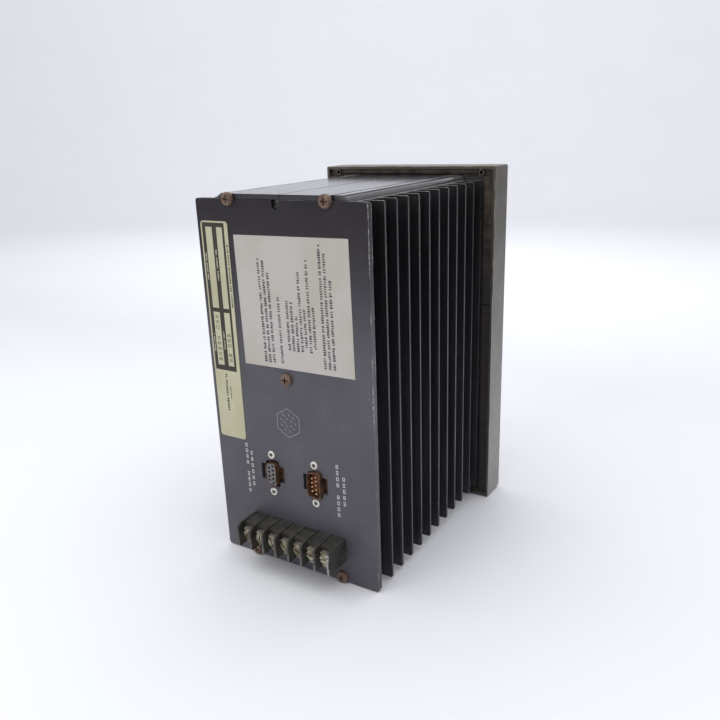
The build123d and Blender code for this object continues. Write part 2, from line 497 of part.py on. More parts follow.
CAN_X, CAN_R = -21.5, 16.0
with BuildPart() as filter_capacitors:
    for z in (-10, 32):
        rod_y(CAN_X, z, (26, 112), CAN_R)
    fillet(filter_capacitors.edges().filter_by(GeomType.CIRCLE), 1.5)
    for z in (-10, 32):
        for dx in (-5, 5):
            rod_y(CAN_X + dx, z, (112, 118), 2.5)
save(filter_capacitors, "filter_capacitors")

with BuildPart() as power_transistors:  # metal cans on the inside of the right frame, against the heat sink
    wall_x = WALL - CHASSIS_X
    for y in (40, 86):
        for z in (66, 92):
            brick((wall_x, wall_x + 1.6), (y - 19, y + 19), (z - 8, z + 8))
            rod_x(y, z, (wall_x + 1.6, wall_x + 8.5), 9.5)
save(power_transistors, "power_transistors")

with BuildPart() as rectifier_bridge:
    brick((-12, -DIVIDER_T / 2), (108, 136), (-80, -52))
    for y in (112, 132):
        for z in (-76, -56):
            brick((-18, -12), (y - 0.4, y + 0.4), (z - 3, z + 3))
save(rectifier_bridge, "rectifier_bridge")
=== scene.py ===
"""Looks of a panel-mounted servo drive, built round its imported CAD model.

Every length is in metres, in the model's own frame: +Z up the installed unit, +Y towards the wiring side.
The unit lies back a little on its table, on the bezel's lower edge and the two lower screw heads.
"""

import math
import random

import bmesh
import bpy
from mathutils import Matrix, Vector, noise


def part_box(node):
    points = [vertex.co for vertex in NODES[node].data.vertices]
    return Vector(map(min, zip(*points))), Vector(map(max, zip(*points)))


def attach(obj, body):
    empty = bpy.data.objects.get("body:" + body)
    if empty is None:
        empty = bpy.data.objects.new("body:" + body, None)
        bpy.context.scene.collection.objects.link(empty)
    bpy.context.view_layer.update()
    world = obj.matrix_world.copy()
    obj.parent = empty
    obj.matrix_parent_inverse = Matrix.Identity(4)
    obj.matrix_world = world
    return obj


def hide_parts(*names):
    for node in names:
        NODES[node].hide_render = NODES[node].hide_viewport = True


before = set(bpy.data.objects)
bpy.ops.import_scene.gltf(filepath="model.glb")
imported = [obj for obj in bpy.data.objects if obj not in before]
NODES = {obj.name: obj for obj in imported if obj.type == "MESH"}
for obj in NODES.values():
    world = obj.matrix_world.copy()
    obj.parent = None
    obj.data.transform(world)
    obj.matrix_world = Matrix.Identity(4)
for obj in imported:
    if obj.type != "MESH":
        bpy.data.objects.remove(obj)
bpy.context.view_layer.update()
MM = 0.001


# ---------------------------------------------------------------- shader kit
class Shader:
    """A node material being built.

    Its texture coordinates are the model frame's metres, so detail has a real size.
    """

    def __init__(self, name):
        self.material = bpy.data.materials.new(name)
        self.material.use_nodes = True
        self.tree = self.material.node_tree
        self.bsdf = self.tree.nodes["Principled BSDF"]
        self.position = self.tree.nodes.new("ShaderNodeTexCoord").outputs["Object"]
        self.split = self.tree.nodes.new("ShaderNodeSeparateXYZ")
        self.tree.links.new(self.position, self.split.inputs[0])
        self.normal = None

    def put(self, node, socket, value):
        """Feeds a socket from a node, a colour or a number."""
        if isinstance(value, bpy.types.NodeSocket):
            self.tree.links.new(value, node.inputs[socket])
        elif isinstance(value, tuple) and len(value) == 3 and node.inputs[socket].type == "RGBA":
            node.inputs[socket].default_value = (*value, 1.0)
        else:
            node.inputs[socket].default_value = value

    def math(self, operation, *values):
        node = self.tree.nodes.new("ShaderNodeMath")
        node.operation = operation
        for index, value in enumerate(values):
            self.put(node, index, value)
        return node.outputs[0]

    def times(self, first, second):
        return self.math("MULTIPLY", first, second)

    def minus(self, first, second):
        return self.math("SUBTRACT", first, second)

    def absolute(self, value):
        return self.math("ABSOLUTE", value)

    def axis(self, letter):
        """How far along X, Y or Z the point lies."""
        return self.split.outputs[letter]

    def stretched(self, stretch):
        """The position with each axis multiplied, for detail that runs along one direction."""
        node = self.tree.nodes.new("ShaderNodeVectorMath")
        node.operation = "MULTIPLY"
        self.put(node, 0, self.position)
        node.inputs[1].default_value = stretch
        return node.outputs[0]

    def noise(self, size, detail=3.0, roughness=0.55, stretch=(1, 1, 1), distortion=0.0):
        """Noise from about 0.2 to 0.8 with features of that size in metres."""
        node = self.tree.nodes.new("ShaderNodeTexNoise")
        self.put(node, "Vector", self.stretched(stretch))
        self.put(node, "Scale", 1.0 / size)
        self.put(node, "Detail", detail)
        self.put(node, "Roughness", roughness)
        self.put(node, "Distortion", distortion)
        return node.outputs["Fac"]

    def clouds(self, size, *options, **more_options):
        """Noise drawn out to the whole range from 0 to 1."""
        return self.step(self.noise(size, *options, **more_options), 0.3, 0.7)

    def cells(self, size, stretch=(1, 1, 1), feature="F1"):
        """Distance to the points of a cell pattern of that size."""
        node = self.tree.nodes.new("ShaderNodeTexVoronoi")
        node.feature = feature
        self.put(node, "Vector", self.stretched(stretch))
        self.put(node, "Scale", 1.0 / size)
        return node.outputs["Distance"]

    def step(self, value, start, end):
        """0 below start, 1 above end (or the reverse), smooth between."""
        node = self.tree.nodes.new("ShaderNodeMapRange")
        node.interpolation_type = "SMOOTHSTEP"
        low, high, at_low, at_high = (start, end, 0.0, 1.0) if start < end else (end, start, 1.0, 0.0)
        settings = {"Value": value, "From Min": low, "From Max": high, "To Min": at_low, "To Max": at_high}
        for socket, setting in settings.items():
            self.put(node, socket, setting)
        return node.outputs[0]

    def both(self, *masks):
        """1 where every mask is 1."""
        result = masks[0]
        for mask in masks[1:]:
            result = self.times(result, mask)
        return result

    def either(self, *masks):
        """1 where any mask is 1."""
        result = masks[0]
        for mask in masks[1:]:
            result = self.math("MAXIMUM", result, mask)
        return result

    def mix(self, factor, first, second):
        """A colour that goes from first to second with the factor."""
        node = self.tree.nodes.new("ShaderNodeMix")
        node.data_type = "RGBA"
        self.put(node, 0, factor)
        self.put(node, 6, first)
        self.put(node, 7, second)
        return node.outputs[2]

    def tint(self, colour, factor):
        """A colour multiplied by a number."""
        node = self.tree.nodes.new("ShaderNodeVectorMath")
        node.operation = "SCALE"
        self.put(node, 0, colour)
        self.put(node, 3, factor)
        return node.outputs[0]

    def level(self, factor, first, second):
        """A number that goes from first to second with the factor."""
        node = self.tree.nodes.new("ShaderNodeMix")
        self.put(node, 0, factor)
        self.put(node, 2, first)
        self.put(node, 3, second)
        return node.outputs[0]

    def bump(self, height, depth, strength=1.0):
        """Adds relief of that depth in metres."""
        node = self.tree.nodes.new("ShaderNodeBump")
        self.put(node, "Strength", strength)
        self.put(node, "Distance", depth)
        self.put(node, "Height", height)
        if self.normal is not None:
            self.put(node, "Normal", self.normal)
        self.normal = node.outputs[0]

    def edge_distance(self, low, high):
        """How far a point on a box's surface is from the box's nearest edge."""
        gaps = []
        for letter, start, end in zip("XYZ", low, high):
            along = self.axis(letter)
            gap = self.math("MINIMUM", self.minus(along, start), self.minus(end, along))
            gaps.append(self.absolute(gap))
        total = self.math("ADD", self.math("ADD", gaps[0], gaps[1]), gaps[2])
        return self.minus(total, self.either(*gaps))


SOCKETS = {
    "base": "Base Color",
    "metal": "Metallic",
    "rough": "Roughness",
    "specular": "Specular IOR Level",
    "coat": "Coat Weight",
    "transmission": "Transmission Weight",
    "ior": "IOR",
}


def finish_surface(shader, **values):
    """Sets the surface's sockets, each from a number, a colour or a node, and returns the material."""
    for name, value in values.items():
        shader.put(shader.bsdf, SOCKETS[name], value)
    if shader.normal is not None:
        shader.tree.links.new(shader.normal, shader.bsdf.inputs["Normal"])
    return shader.material


def shade(colour, factor):
    """A lighter or darker version of a colour."""
    return tuple(min(1.0, part * factor) for part in colour)


# ---------------------------------------------------------------- metals and paints
BARE_STEEL = (0.46, 0.45, 0.43)
CHIP_EDGE = 0.12 * MM


def painted_metal(name, colour, rough, box=None, texture=0.5, dust=0.3):
    """Old stove enamel: cloudy, scratched, dusty, and worn to the metal in patches along a box's edges."""
    s = Shader(name)
    base = s.mix(s.clouds(45 * MM, 4.0), shade(colour, 0.86), shade(colour, 1.14))
    mottle = s.step(s.noise(3 * MM, 3.0), 0.35, 0.75)
    base = s.mix(s.times(mottle, 0.25), base, shade(colour, 1.35))
    hair = s.step(s.noise(0.7 * MM, 2.0, stretch=(1.0, 0.03, 0.05)), 0.66, 0.72)
    fine = s.step(s.noise(0.9 * MM, 2.0, stretch=(0.06, 0.06, 1.3), distortion=0.4), 0.68, 0.74)
    patches = s.step(s.noise(30 * MM, 2.0), 0.5, 0.62)
    scratches = s.both(s.either(hair, fine), patches)
    base = s.mix(s.times(scratches, 0.35), base, shade(BARE_STEEL, 0.5))
    film = s.both(s.step(s.noise(11 * MM, 5.0, 0.65), 0.5, 0.78), s.step(s.noise(0.5 * MM, 2.0), 0.35, 0.7))
    base = s.mix(s.times(film, dust), base, (0.30, 0.29, 0.27))
    roughness = s.level(s.clouds(14 * MM, 5.0), rough - 0.05, rough + 0.09)
    s.bump(s.noise(1.1 * MM, 2.0), 0.02 * MM * texture)
    metal = 0.0
    if box is not None:
        edge = s.edge_distance(*box)
        ragged = s.times(s.noise(2.2 * MM, 5.0, 0.7), 0.88 * MM)
        where = s.step(s.noise(22 * MM, 3.0), 0.38, 0.62)
        reach = s.times(ragged, s.level(where, 0.35, 1.0))
        chipped = s.step(s.minus(reach, edge), 0.0, CHIP_EDGE)
        base = s.mix(chipped, base, s.mix(s.noise(1.5 * MM), shade(BARE_STEEL, 0.6), BARE_STEEL))
        roughness = s.level(chipped, roughness, 0.42)
        metal = s.times(chipped, 0.75)
        s.bump(chipped, -0.05 * MM)
    return finish_surface(s, base=base, rough=roughness, metal=metal, specular=0.5)


def rear_enamel():
    """Charcoal enamel of the rear plate, darker towards the top by painted shade: rubbed bright along its
    right-hand edge, with stray white nicks.
    """
    s = Shader("rear_enamel")
    low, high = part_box("rear_plate")
    # painted shade: the enamel is lighter at the foot and much darker at the head, standing in for light
    # that falls less on the plate's top
    lit_foot_colour, shaded_head_colour = (0.078, 0.075, 0.088), (0.0135, 0.0100, 0.0130)
    colour = s.mix(s.step(s.axis("Z"), 5 * MM, 112 * MM), lit_foot_colour, shaded_head_colour)
    base = s.tint(colour, s.level(s.clouds(60 * MM, 4.0), 0.86, 1.14))
    grain = s.step(s.noise(0.35 * MM, 2.0), 0.3, 0.75)
    base = s.tint(base, s.level(grain, 0.95, 1.25))
    film = s.both(s.step(s.noise(18 * MM, 6.0, 0.65), 0.5, 0.75), s.step(s.noise(0.6 * MM, 3.0), 0.4, 0.7))
    base = s.mix(s.times(film, 0.09), base, (0.28, 0.27, 0.27))
    nicks = s.both(
        s.step(s.cells(7 * MM, stretch=(1, 1, 0.8)), 0.055, 0.03),
        s.step(s.noise(25 * MM, 2.0), 0.5, 0.58),
    )
    near_edge = s.step(s.axis("X"), low.x + 14 * MM, low.x + 2 * MM)
    nicks = s.both(nicks, s.level(near_edge, 0.35, 1.0))
    edge = s.edge_distance(low, high)
    right = s.step(s.axis("X"), low.x + 3.0 * MM, low.x + 1.2 * MM)
    torn = s.noise(1.8 * MM, 6.0, 0.72, stretch=(1, 1, 0.45))
    ragged = s.times(torn, s.level(right, 0.4 * MM, 1.7 * MM))
    where = s.step(s.noise(26 * MM, 3.0), 0.42, 0.62)
    reach = s.times(ragged, s.level(where, 0.05, 1.0))
    worn_edge = s.step(s.minus(reach, edge), 0.0, CHIP_EDGE)
    chipped = s.either(worn_edge, s.times(nicks, 0.8))
    bare = s.mix(s.step(s.noise(1.2 * MM, 4.0), 0.35, 0.65), (0.10, 0.09, 0.08), (0.50, 0.49, 0.46))
    base = s.mix(s.times(chipped, 0.8), base, bare)
    roughness = s.level(s.clouds(16 * MM, 5.0), 0.36, 0.50)
    s.bump(s.noise(0.5 * MM, 2.0), 0.012 * MM)
    s.bump(chipped, -0.05 * MM)
    return finish_surface(
        s,
        base=base,
        rough=s.level(chipped, roughness, 0.45),
        metal=s.times(chipped, 0.7),
        specular=0.32,
    )


def anodised_fins(side):
    """Black anodised aluminium, lighter towards the foot by a painted reflection of the table: streaks of
    the extrusion along Z, lighter sawn ends and rubbed fin tips.
    """
    s = Shader(f"anodised_fins_{side}")
    low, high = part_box(f"heat_sink_{side}")
    tip = low.x if side == "right" else high.x
    # painted reflection: the fins go from near black at the top to lighter at the foot, standing in for the
    # bright table reflected in their lower parts
    shaded_top_colour, lit_foot_colour = (0.0105, 0.0100, 0.0115), (0.029, 0.029, 0.035)
    colour = s.mix(s.step(s.axis("Z"), high.z, low.z), shaded_top_colour, lit_foot_colour)
    streak = s.noise(1.6 * MM, 3.0, stretch=(1, 1, 0.02))
    base = s.tint(colour, s.level(s.step(streak, 0.3, 0.7), 0.7, 1.4))
    film = s.both(s.step(s.noise(13 * MM, 5.0, 0.6), 0.52, 0.78), s.step(s.noise(0.6 * MM, 2.0), 0.4, 0.7))
    base = s.mix(s.times(film, 0.12), base, (0.20, 0.19, 0.18))
    from_tip = s.absolute(s.minus(s.axis("X"), tip))
    from_top = s.absolute(s.minus(s.axis("Z"), high.z))
    from_end = s.absolute(s.minus(s.axis("Z"), low.z))
    patchy = s.step(s.noise(7 * MM, 5.0, 0.7, stretch=(1, 1, 0.3)), 0.38, 0.62)
    on_tip = s.times(s.step(from_tip, 0.25 * MM, 0.08 * MM), s.level(patchy, 0.03, 0.17))
    on_top = s.times(s.step(from_top, 0.35 * MM, 0.12 * MM), s.level(patchy, 0.35, 0.9))
    on_end = s.times(s.step(from_end, 0.35 * MM, 0.12 * MM), s.level(patchy, 0.2, 0.5))
    outer = s.math("MINIMUM", from_tip, from_top)
    knocks = s.step(s.cells(10 * MM, stretch=(1, 1, 0.4)), 0.07, 0.03)
    chips = s.both(knocks, s.step(outer, 1.2 * MM, 0.5 * MM))
    worn = s.either(on_tip, on_top, on_end, s.times(chips, 0.8))
    base = s.mix(worn, base, s.mix(s.noise(2 * MM, 4.0), (0.13, 0.12, 0.11), (0.36, 0.34, 0.32)))
    s.bump(streak, 0.012 * MM)
    roughness = s.level(s.clouds(9 * MM, 4.0), 0.32, 0.44)
    return finish_surface(s, base=base, rough=roughness, metal=s.times(worn, 0.5), specular=0.36)


def rusted_steel():
    """Plated screws gone brown, with dark pits and a little metal left in patches."""
    s = Shader("rusted_steel")
    broad = s.step(s.noise(2.4 * MM, 5.0, 0.65), 0.34, 0.66)
    base = s.mix(broad, (0.105, 0.060, 0.042), (0.235, 0.165, 0.125))
    spots = s.step(s.noise(0.7 * MM, 3.0, 0.7), 0.56, 0.70)
    base = s.mix(s.times(spots, 0.75), base, (0.055, 0.028, 0.02))
    orange = s.step(s.noise(1.1 * MM, 4.0, 0.6, distortion=0.6), 0.60, 0.72)
    base = s.mix(s.times(orange, 0.6), base, (0.26, 0.105, 0.045))
    s.bump(s.noise(0.35 * MM, 4.0, 0.7), 0.05 * MM)
    roughness = s.level(broad, 0.68, 0.42)
    return finish_surface(s, base=base, rough=roughness, metal=s.level(broad, 0.15, 0.6), specular=0.4)


def plated_metal(name, bright, dull, metal=0.9, rough=0.36, size=2.0):
    """Bare or plated metal with tarnish patches and fine tooling marks."""
    s = Shader(name)
    tarnish = s.step(s.noise(size * MM, 5.0, 0.62), 0.36, 0.66)
    base = s.mix(tarnish, dull, bright)
    specks = s.step(s.noise(0.4 * MM, 2.0), 0.64, 0.72)
    base = s.mix(s.times(specks, 0.5), base, shade(dull, 0.45))
    s.bump(s.noise(0.25 * MM, 3.0), 0.01 * MM)
    roughness = s.level(tarnish, rough + 0.16, rough)
    metallic = s.level(tarnish, metal * 0.8, metal)
    return finish_surface(s, base=base, rough=roughness, metal=metallic, specular=0.5)


SEAM_X = -2.5 * MM  # where the two top covers meet


def cover_enamel():
    """Smooth dark enamel of the covers: glossy at a low angle, with fine wipe marks along the depth."""
    s = Shader("cover_enamel")
    cover_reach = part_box("top_cover_left")[1].x
    colour = (0.020, 0.020, 0.024)
    base = s.mix(s.clouds(40 * MM, 4.0), shade(colour, 0.8), shade(colour, 1.2))
    dust = s.both(s.step(s.noise(9 * MM, 5.0, 0.7), 0.5, 0.8), s.step(s.cells(1.1 * MM), 0.30, 0.12))
    base = s.mix(s.times(dust, 0.30), base, (0.34, 0.34, 0.34))
    wipe = s.noise(0.8 * MM, 3.0, stretch=(1.0, 0.02, 1.0))
    s.bump(wipe, 0.002 * MM)
    from_seam = s.absolute(s.minus(s.axis("X"), SEAM_X))
    from_sides = s.absolute(s.minus(s.absolute(s.axis("X")), cover_reach))
    dirt = s.step(s.math("MINIMUM", from_seam, from_sides), 0.65 * MM, 0.4 * MM)
    base = s.mix(dirt, base, (0.012, 0.011, 0.010))
    polish = s.level(s.step(wipe, 0.3, 0.7), 0.09, 0.16)
    return finish_surface(s, base=base, rough=s.level(dirt, polish, 0.8), specular=0.6)


# ---------------------------------------------------------------- plastics, rubber, boards and labels
def moulding(name, colour, rough=0.45, worn=None, size=4.0):
    """Moulded plastic with a faint grain, dust in patches and, if given, a lighter worn colour."""
    s = Shader(name)
    base = s.mix(s.clouds(size * MM, 4.0), shade(colour, 0.8), shade(colour, 1.2))
    if worn:
        rubbed = s.step(s.noise(2.5 * MM, 6.0, 0.7), 0.5, 0.72)
        base = s.mix(s.times(rubbed, 0.6), base, worn)
    s.bump(s.noise(0.3 * MM, 2.0), 0.012 * MM)
    roughness = s.level(s.clouds(3 * MM, 4.0), rough - 0.06, rough + 0.1)
    return finish_surface(s, base=base, rough=roughness, specular=0.45)


def phenolic():
    """Black phenolic of the terminal strip: browned by heat, dusty, rubbed grey on the barriers' edges."""
    s = Shader("phenolic")
    low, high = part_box("terminal_block")
    browned = s.step(s.noise(7 * MM, 5.0, 0.6), 0.35, 0.65)
    base = s.mix(browned, (0.022, 0.021, 0.019), (0.050, 0.047, 0.039))
    dust = s.both(s.step(s.noise(5 * MM, 6.0, 0.7), 0.44, 0.7), s.step(s.noise(0.4 * MM, 2.0), 0.35, 0.7))
    base = s.mix(s.times(dust, 0.4), base, (0.13, 0.12, 0.10))
    ragged = s.times(s.step(s.noise(1.4 * MM, 6.0, 0.7), 0.42, 0.66), 0.9 * MM)
    front = s.step(s.minus(ragged, s.minus(high.y, s.axis("Y"))), 0.0, 0.15 * MM)
    top = s.step(s.minus(ragged, s.minus(high.z, s.axis("Z"))), 0.1 * MM, 0.3 * MM)
    end = s.step(s.axis("X"), low.x + 12 * MM, low.x + 1.6 * MM)
    low_front = s.both(front, s.step(s.axis("Z"), low.z + 9 * MM, low.z + 2 * MM))
    faint = s.times(s.either(front, top), 0.05)
    rubbed = s.either(faint, s.both(front, end), s.times(low_front, 0.3))
    base = s.mix(rubbed, base, s.mix(s.noise(1.2 * MM), (0.16, 0.155, 0.145), (0.50, 0.49, 0.46)))
    s.bump(s.noise(0.8 * MM, 4.0), 0.03 * MM)
    roughness = s.level(s.clouds(3 * MM), 0.42, 0.62)
    return finish_surface(s, base=base, rough=roughness, specular=0.45)


def aged_foam():
    """Foam rubber gone brown: open pores, streaks along the strips and grime, and painted shade that darkens
    it towards the bottom.
    """
    s = Shader("aged_foam")
    streak = s.noise(2.5 * MM, 5.0, 0.65, stretch=(0.25, 1.0, 0.25))
    base = s.mix(s.step(streak, 0.32, 0.68), (0.028, 0.022, 0.018), (0.092, 0.072, 0.056))
    base = s.mix(s.step(s.noise(0.9 * MM, 4.0, 0.7), 0.52, 0.75), base, (0.030, 0.024, 0.020))
    pores = s.step(s.cells(0.55 * MM), 0.42, 0.2)
    base = s.mix(s.times(pores, 0.55), base, (0.02, 0.016, 0.013))
    # painted shade: the foam darkens to a purplish near-black lower down, where the bezel's recess shades it
    lower_shade = s.step(s.axis("Z"), 95 * MM, 30 * MM)
    base = s.mix(s.times(lower_shade, 0.8), base, (0.034, 0.030, 0.034))
    s.bump(s.cells(0.55 * MM), 0.12 * MM)
    return finish_surface(s, base=base, rough=0.88, specular=0.25)


def label_stock(name, colour, stain, rough=0.5):
    """Printed label stock: yellowed in clouds, with grimy spots, faintly creased."""
    s = Shader(name)
    base = s.mix(s.step(s.noise(28 * MM, 4.0), 0.35, 0.7), colour, stain)
    base = s.mix(s.times(s.step(s.noise(1.0 * MM, 3.0), 0.5, 0.8), 0.12), base, shade(stain, 0.7))
    marks = s.both(s.step(s.cells(11 * MM), 0.06, 0.03), s.step(s.noise(20 * MM), 0.5, 0.6))
    base = s.mix(s.times(marks, 0.45), base, (0.28, 0.24, 0.18))
    s.bump(s.noise(16 * MM, 2.0), 0.10 * MM, 0.5)
    s.bump(s.noise(0.3 * MM, 2.0), 0.006 * MM)
    return finish_surface(s, base=base, rough=rough, specular=0.4)


def ink(name, colour, fade=0.5):
    """Printed ink that has rubbed thin in places."""
    s = Shader(name)
    rubbed = s.step(s.noise(0.6 * MM, 4.0, 0.7), 0.48, 0.72)
    base = s.mix(s.times(rubbed, fade), colour, shade(colour, 0.45))
    return finish_surface(s, base=base, rough=0.55, specular=0.3)


def circuit_board():
    """Green solder mask over a maze of tracks, with tinned pads on a 2.54 mm grid."""
    s = Shader("circuit_board")
    tracks = s.step(s.cells(2.54 * MM, feature="DISTANCE_TO_EDGE"), 0.10, 0.16)
    base = s.mix(tracks, (0.018, 0.105, 0.045), (0.010, 0.060, 0.026))
    pads = s.step(s.cells(2.54 * MM), 0.22, 0.16)
    base = s.mix(pads, base, (0.55, 0.54, 0.50))
    s.bump(tracks, -0.03 * MM)
    return finish_surface(s, base=base, rough=0.35, metal=s.times(pads, 0.7), specular=0.5)


def smoked_window():
    """Dark red acrylic pane with hairline scratches."""
    s = Shader("smoked_window")
    hair = s.step(s.noise(0.5 * MM, 2.0, stretch=(0.05, 1, 1), distortion=0.5), 0.68, 0.72)
    s.bump(hair, -0.01 * MM)
    base = s.mix(s.clouds(20 * MM), (0.30, 0.018, 0.014), (0.38, 0.028, 0.020))
    return finish_surface(s, base=base, rough=s.level(hair, 0.06, 0.3), transmission=0.85, ior=1.49)


RIB_PHASE = 9000.0  # radians per metre of a fine rib pattern: a pitch of 0.7 mm


def lamp_lenses():
    """Green, amber and red lenses in one row, told apart by their place along X."""
    s = Shader("lamp_lenses")
    base = s.mix(s.step(s.axis("X"), -27 * MM, -25 * MM), (0.02, 0.22, 0.04), (0.50, 0.22, 0.015))
    base = s.mix(s.step(s.axis("X"), -1 * MM, 1 * MM), base, (0.50, 0.20, 0.012))
    base = s.mix(s.step(s.axis("X"), 25 * MM, 27 * MM), base, (0.42, 0.018, 0.012))
    rings = s.math("SINE", s.times(s.axis("Z"), RIB_PHASE))
    s.bump(rings, 0.02 * MM)
    return finish_surface(s, base=base, rough=0.14, coat=0.5, specular=0.5)


def laminations():
    """Edges of the transformer's steel sheets under brown varnish."""
    s = Shader("laminations")
    sheets = s.math("SINE", s.times(s.axis("X"), RIB_PHASE))
    base = s.mix(s.step(sheets, -0.6, 0.6), (0.045, 0.035, 0.028), (0.13, 0.11, 0.09))
    s.bump(sheets, 0.05 * MM)
    return finish_surface(s, base=base, rough=0.5, metal=0.4)


def wound_tape(name, colour, pitch):
    """Overlapping turns of tape or sleeve."""
    s = Shader(name)
    turns = s.math("SINE", s.times(s.axis("Z"), math.tau / pitch))
    base = s.mix(s.step(turns, 0.7, 0.95), colour, shade(colour, 0.6))
    s.bump(turns, 0.05 * MM)
    return finish_surface(s, base=base, rough=0.35, specular=0.5)


def bezel_enamel():
    """Aged olive-grey enamel of the bezel: worn on its outer edges, brown and dirty inside the rim; painted
    shade and light make it dark at the head, light at the foot and on its top face, and dark on the rim's
    rear face and low inside the rim.
    """
    s = Shader("bezel_enamel")
    low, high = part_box("bezel")
    shaded_head_colour, lit_foot_colour = (0.070, 0.063, 0.046), (0.268, 0.261, 0.247)
    # painted shade and light: the enamel goes from dark at the head to light at the foot, standing in for
    # how the light falls down the bezel's side
    colour = s.mix(s.step(s.axis("Z"), high.z + 10 * MM, low.z + 20 * MM), shaded_head_colour, lit_foot_colour)
    # painted light: the bezel's top face is made twice as light, standing in for the overhead light on it
    lit_top_face = s.step(s.axis("Z"), high.z - 0.4 * MM, high.z - 0.1 * MM)
    colour = s.tint(colour, s.level(lit_top_face, 1.0, 2.0))
    base = s.tint(colour, s.level(s.clouds(50 * MM, 5.0, 0.6), 0.88, 1.10))
    streaks = s.step(s.noise(1.2 * MM, 4.0, stretch=(1, 1, 0.05)), 0.5, 0.75)
    base = s.tint(base, s.level(streaks, 1.0, 1.12))
    grain = s.step(s.noise(0.4 * MM, 2.0), 0.35, 0.75)
    base = s.tint(base, s.level(grain, 1.04, 0.90))
    # inside the rim the grime is partly real brown dirt and partly painted shade of the recess, going black
    # lower down
    skin_start, skin_end = 1.7 * MM, 2.1 * MM
    inside_x = s.step(s.absolute(s.axis("X")), high.x - skin_start, high.x - skin_end)
    inside_z = s.step(s.absolute(s.axis("Z")), high.z - skin_start, high.z - skin_end)
    inside = s.both(inside_x, inside_z, s.step(s.axis("Y"), low.y + 1.5 * MM, low.y + 2.5 * MM))
    dirt = s.noise(3 * MM, 5.0, 0.7)
    lower_shade = s.step(s.axis("Z"), high.z - 40 * MM, 0.0)
    brown_dirt = s.mix(dirt, (0.045, 0.035, 0.025), (0.12, 0.095, 0.07))
    black_dirt_and_shade = s.mix(dirt, (0.022, 0.019, 0.020), (0.055, 0.050, 0.050))
    grime_and_shade = s.mix(lower_shade, brown_dirt, black_dirt_and_shade)
    edge = s.edge_distance(low, high)
    # painted shade: the rim's rear face, away from its edges, takes the grime colour to stand in for its
    # shadow
    shaded_rim = s.both(s.step(s.axis("Y"), -0.5 * MM, -0.15 * MM), s.step(edge, 0.35 * MM, 0.6 * MM))
    base = s.mix(s.either(inside, s.times(shaded_rim, 0.85)), base, grime_and_shade)
    ragged = s.times(s.noise(2 * MM, 6.0, 0.7), 1.0 * MM)
    where = s.step(s.noise(24 * MM, 3.0), 0.4, 0.62)
    chipped = s.step(s.minus(s.times(ragged, where), edge), 0.0, CHIP_EDGE)
    base = s.mix(s.times(chipped, 0.7), base, (0.50, 0.49, 0.46))
    s.bump(s.noise(0.9 * MM, 2.0), 0.02 * MM)
    s.bump(chipped, -0.04 * MM)
    roughness = s.level(s.clouds(12 * MM, 5.0), 0.40, 0.54)
    return finish_surface(s, base=base, rough=roughness, metal=s.times(chipped, 0.4), specular=0.5)


def overlay_aluminium():
    """Black anodised face sheet, brushed along Z."""
    s = Shader("overlay_aluminium")
    brush = s.noise(0.35 * MM, 3.0, stretch=(1, 1, 0.015))
    base = s.mix(s.step(brush, 0.3, 0.7), (0.022, 0.022, 0.024), (0.045, 0.045, 0.048))
    s.bump(brush, 0.01 * MM)
    edge = s.edge_distance(*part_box("front_overlay"))
    worn = s.step(edge, 0.25 * MM, 0.08 * MM)
    base = s.mix(s.times(worn, 0.7), base, (0.5, 0.5, 0.5))
    return finish_surface(s, base=base, rough=0.38, metal=s.level(worn, 0.35, 0.9), specular=0.5)


# ---------------------------------------------------------------- materials on the CAD nodes
def dress(material, *names):
    """Gives CAD nodes their material."""
    for name in names:
        mesh = NODES[name].data
        mesh.materials.clear()
        mesh.materials.append(material)


TERMINALS = range(1, 8)
KEYS = range(1, 5)

dress(bezel_enamel(), "bezel")
dress(overlay_aluminium(), "front_overlay")
dress(smoked_window(), "display_window")
dress(rear_enamel(), "rear_plate")
dress(cover_enamel(), "top_cover_left", "top_cover_right", "bottom_cover")
frame_enamel = painted_metal("frame_enamel", (0.085, 0.083, 0.085), 0.15, texture=0.05, dust=0.15)
dress(frame_enamel, "side_frame_left", "side_frame_right")
for side in ("left", "right"):
    dress(anodised_fins(side), f"heat_sink_{side}")
mounting_enamel = painted_metal("mounting_enamel", (0.035, 0.030, 0.026), 0.55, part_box("mounting_plate"))
dress(mounting_enamel, "mounting_plate")
divider_enamel = painted_metal("divider_enamel", (0.05, 0.05, 0.054), 0.45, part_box("centre_divider"))
dress(divider_enamel, "centre_divider")
dress(rusted_steel(), "rear_screws")
dark_plate = plated_metal("dark_screws", (0.16, 0.17, 0.155), (0.035, 0.034, 0.03), metal=0.7, rough=0.45)
dress(dark_plate, "chassis_screws")
bright_plate = plated_metal("bright_plate", (0.83, 0.82, 0.76), (0.50, 0.48, 0.41), metal=0.75, rough=0.34)
dress(bright_plate, "jack_nuts")
browned = plated_metal("browned_steel", (0.13, 0.10, 0.075), (0.045, 0.033, 0.025), metal=0.5, rough=0.5)
dress(browned, "panel_inserts")
dress(plated_metal("steel_cans", (0.60, 0.60, 0.60), (0.38, 0.37, 0.35)), "power_transistors")
chromate = plated_metal(
    "chromate_steel", (0.21, 0.125, 0.075), (0.075, 0.036, 0.022), metal=0.55, rough=0.45, size=4.0
)
dress(chromate, "output_shell", "input_shell")
dress(moulding("grey_moulding", (0.135, 0.13, 0.13), worn=(0.20, 0.195, 0.19)), "output_insulator")
dress(moulding("red_moulding", (0.20, 0.042, 0.015), worn=(0.27, 0.08, 0.035)), "input_insulator")
gold = plated_metal("contact_gold", (0.90, 0.74, 0.47), (0.66, 0.50, 0.30), rough=0.25, size=3.0)
dress(gold, "input_pins", "board_spacers")
dark_gold = plated_metal("tarnished_gold", (0.17, 0.13, 0.08), (0.05, 0.04, 0.03), metal=0.5, rough=0.5)
dress(dark_gold, "output_sockets")
